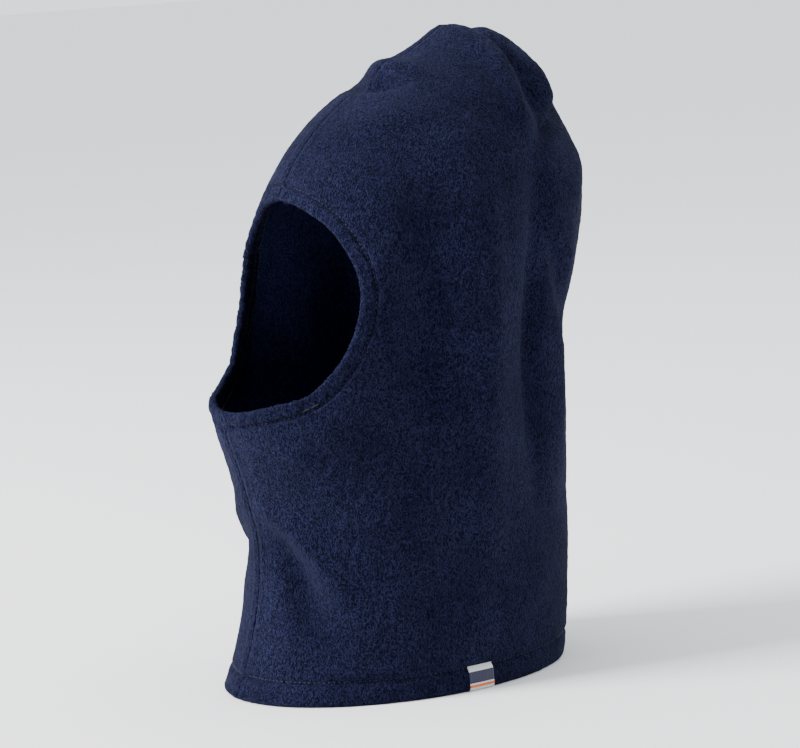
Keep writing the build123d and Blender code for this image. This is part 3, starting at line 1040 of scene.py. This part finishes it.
NAVY, ORANGE = (0.006, 0.008, 0.040), (0.70, 0.14, 0.012)
WHITE, GREY = (0.62, 0.63, 0.64), (0.26, 0.27, 0.29)
THREAD = plain("navy_thread", (0.0045, 0.0060, 0.0200), 0.62, 900.0, 0.3)
ELASTIC = plain("navy_elastic", (0.010, 0.012, 0.026), 0.75, 1400.0, 0.6)
LABEL_THREAD = plain("pale_label_thread", (0.62, 0.62, 0.64), 0.5, 900.0, 0.3)
LABEL_TOP = float(LABEL_HIGH[2])
HEM_BANDS = ((0.30 * LABEL_TOP, 0.74 * LABEL_TOP, NAVY), (0.14 * LABEL_TOP, 0.24 * LABEL_TOP, ORANGE))
CARE_BANDS = ((0.118, 0.1195, GREY), (0.113, 0.1145, GREY))
HEM_LABEL = banded("woven_label", WHITE, HEM_BANDS, 9000.0, 0.62, 0.2)
CARE_LABEL = banded("satin_label", WHITE, CARE_BANDS, 14000.0, 0.34, 0.0)
# pieces that are not in the navy thread, with their look and their slot
FINISH = {
    "face_elastic": (ELASTIC, "elastic"),
    "hem_label": (HEM_LABEL, "woven_label"),
    "care_label": (CARE_LABEL, "satin_label"),
    "hem_label_stitching": (LABEL_THREAD, "label_thread"),
    "care_label_stitching": (LABEL_THREAD, "label_thread"),
}

# %% Ride on the bodies and stand for the CAD nodes
for side in ("left", "right"):
    for piece in (panels[side], linings[side]):
        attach(piece, "hood")
    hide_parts(f"{side}_side_panel", f"{side}_face_hem", f"{side}_neck_hem")
    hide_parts(f"{side}_side_panel")
for node, piece in pieces.items():
    look, slot = FINISH.get(node, (THREAD, "thread"))
    piece.data.materials.append(look)
    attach(piece, "care_label" if node == "care_label" else "hood")
    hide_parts(node)

# %% [markdown]
# ## Stage, light and camera
# Each panel is one sheet of fleece, and the labels are narrow strips. A pale
# floor, a pale sky, a key lamp, a faint rim lamp and a dark panel out of view
# light the hood for the camera.

# %% Stage, light and camera
LIT_PLACE = (0, 0, 0.2)


def area_light(name, place, size, power):
    """A square lamp that faces the hood."""
    lamp = bpy.data.lights.new(name, "AREA")
    lamp.energy, lamp.size = power, size
    holder = bpy.data.objects.new(name, lamp)
    holder.location = place
    holder.rotation_euler = (Vector(LIT_PLACE) - Vector(place)).to_track_quat("-Z", "Y").to_euler()
    bpy.context.scene.collection.objects.link(holder)


def backdrop(name, look, colour, roughness, **placing):
    """A plain matt sheet of the studio."""
    bpy.ops.mesh.primitive_plane_add(**placing)
    sheet = bpy.context.object
    sheet.name = name
    matt, _, shader = material(look)
    shader.inputs["Base Color"].default_value = (*colour, 1)
    shader.inputs["Roughness"].default_value = roughness
    sheet.data.materials.append(matt)
    return sheet


backdrop("floor", "studio_paper", (0.86, 0.86, 0.87), 0.9, size=40)

world = bpy.data.worlds.new("studio")
bpy.context.scene.world = world
world.use_nodes = True
sky = world.node_tree.nodes["Background"].inputs
sky["Color"].default_value = (0.92, 0.95, 1.0, 1)
sky["Strength"].default_value = 1.75

area_light("key", (-0.7, -2.25, 1.8), 1.0, 215)
area_light("rim", (0.6, 2.4, 1.5), 1.1, 12)

# a dark studio panel behind the viewer keeps the near side deep in tone
dark_panel = backdrop("dark_panel", "studio_black", (0.012, 0.012, 0.014), 1.0, size=4.4,
                      location=(2.35, -1.35, 1.2), rotation=(0, math.radians(90), math.radians(-30)))
dark_panel.visible_camera = False

AZIMUTH, ELEVATION, ROLL = math.radians(60), math.radians(8), math.radians(3.8)
DISTANCE = 1.9
TARGET = Vector((0, 0.016, 0.178))
level = math.cos(ELEVATION)
back = Vector((math.sin(AZIMUTH) * level, -math.cos(AZIMUTH) * level, math.sin(ELEVATION)))
lens = bpy.data.cameras.new("camera")
lens.lens, lens.sensor_width = 142.5, 36.0
camera = bpy.data.objects.new("camera", lens)
camera.location = TARGET + back * DISTANCE
facing = back.to_track_quat("Z", "Y").to_matrix() @ Matrix.Rotation(-ROLL, 3, "Z")
camera.rotation_euler = facing.to_euler()
bpy.context.scene.collection.objects.link(camera)
bpy.context.scene.camera = camera
